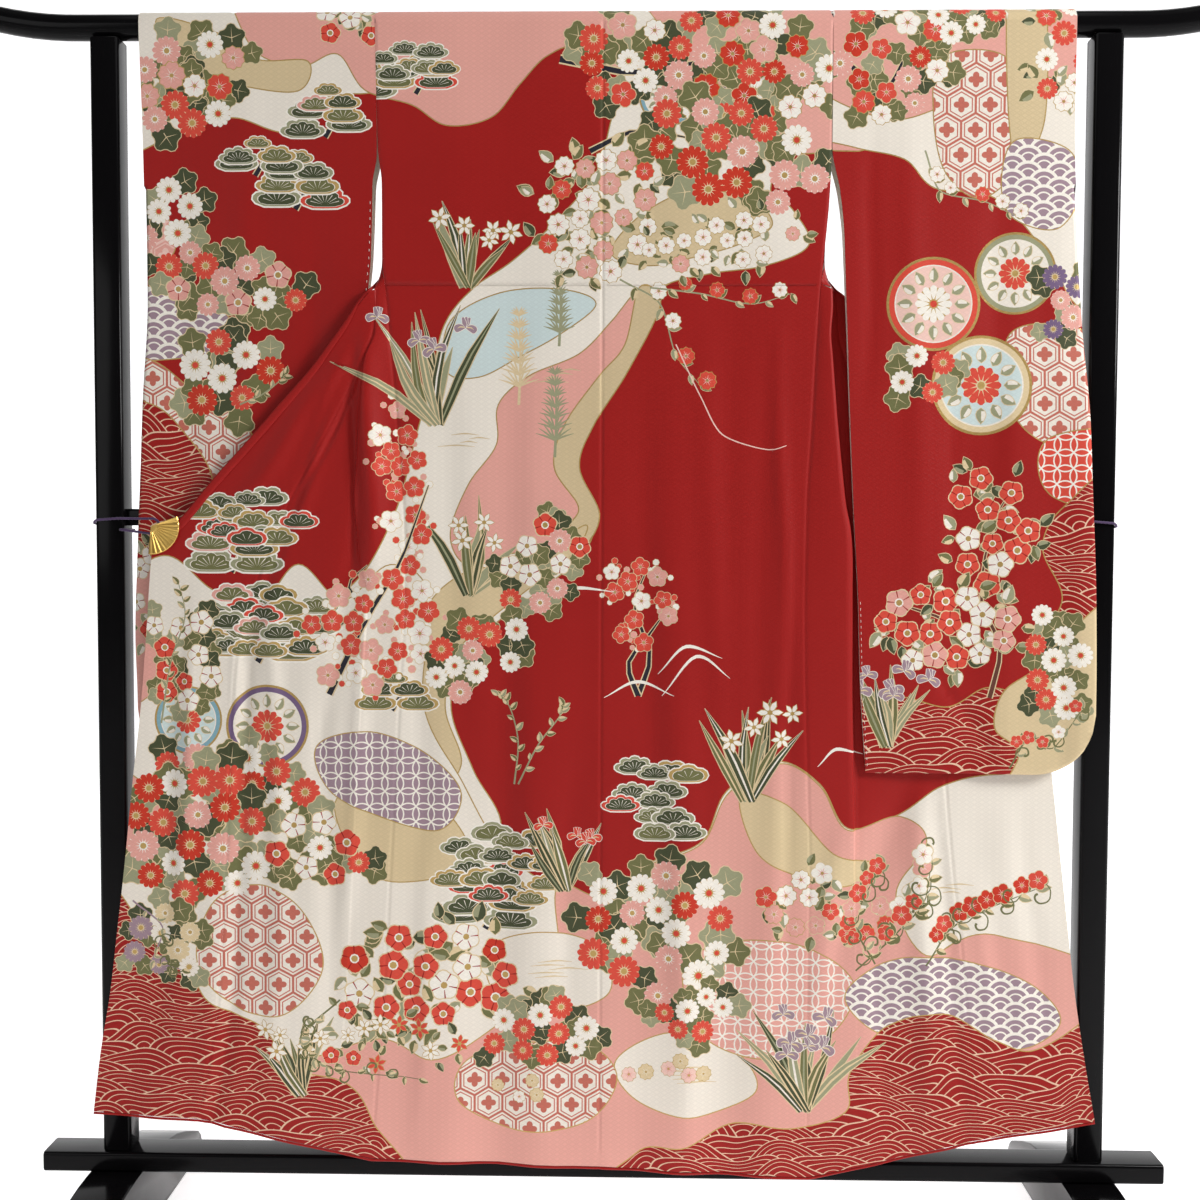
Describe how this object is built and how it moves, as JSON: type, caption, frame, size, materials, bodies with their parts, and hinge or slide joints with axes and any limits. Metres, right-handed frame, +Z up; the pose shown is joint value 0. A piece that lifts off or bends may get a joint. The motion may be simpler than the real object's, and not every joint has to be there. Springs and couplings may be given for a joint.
{
  "type": "furisode kimono on kimono stand",
  "caption": "Long-sleeved lined silk kimono hung by its shoulders over the round top bar of a black lacquered kimono stand, back outward, both fronts opened and clipped.",
  "frame": {"origin": "on the floor, at the middle of the bounding box's underside", "axes": "+X along the top bar, +Y away from the side that shows the garment's back, +Z up"},
  "size_m": [1.84, 0.534, 1.7891],
  "materials": {
    "lacquer": "black gloss lacquer",
    "silk": "crepe silk with a printed pattern and soft sheen",
    "lining": "plain dark red silk",
    "clip": "satin brass",
    "cord": "twisted purple silk cord"
  },
  "bodies": {
    "root": {"top_bar": "lacquer", "post_left": "lacquer", "post_right": "lacquer", "crossbar": "lacquer", "base_beam": "lacquer", "foot_left": "lacquer", "foot_right": "lacquer", "body_left": "silk", "body_right": "silk", "okumi_left": "silk", "okumi_right": "silk", "sleeve_left": "silk", "sleeve_right": "silk", "collar": "silk", "hem_roll": "lining", "clip_left": "clip", "clip_right": "clip", "cord_left": "cord", "cord_right": "cord"}
  },
  "joints": []
}
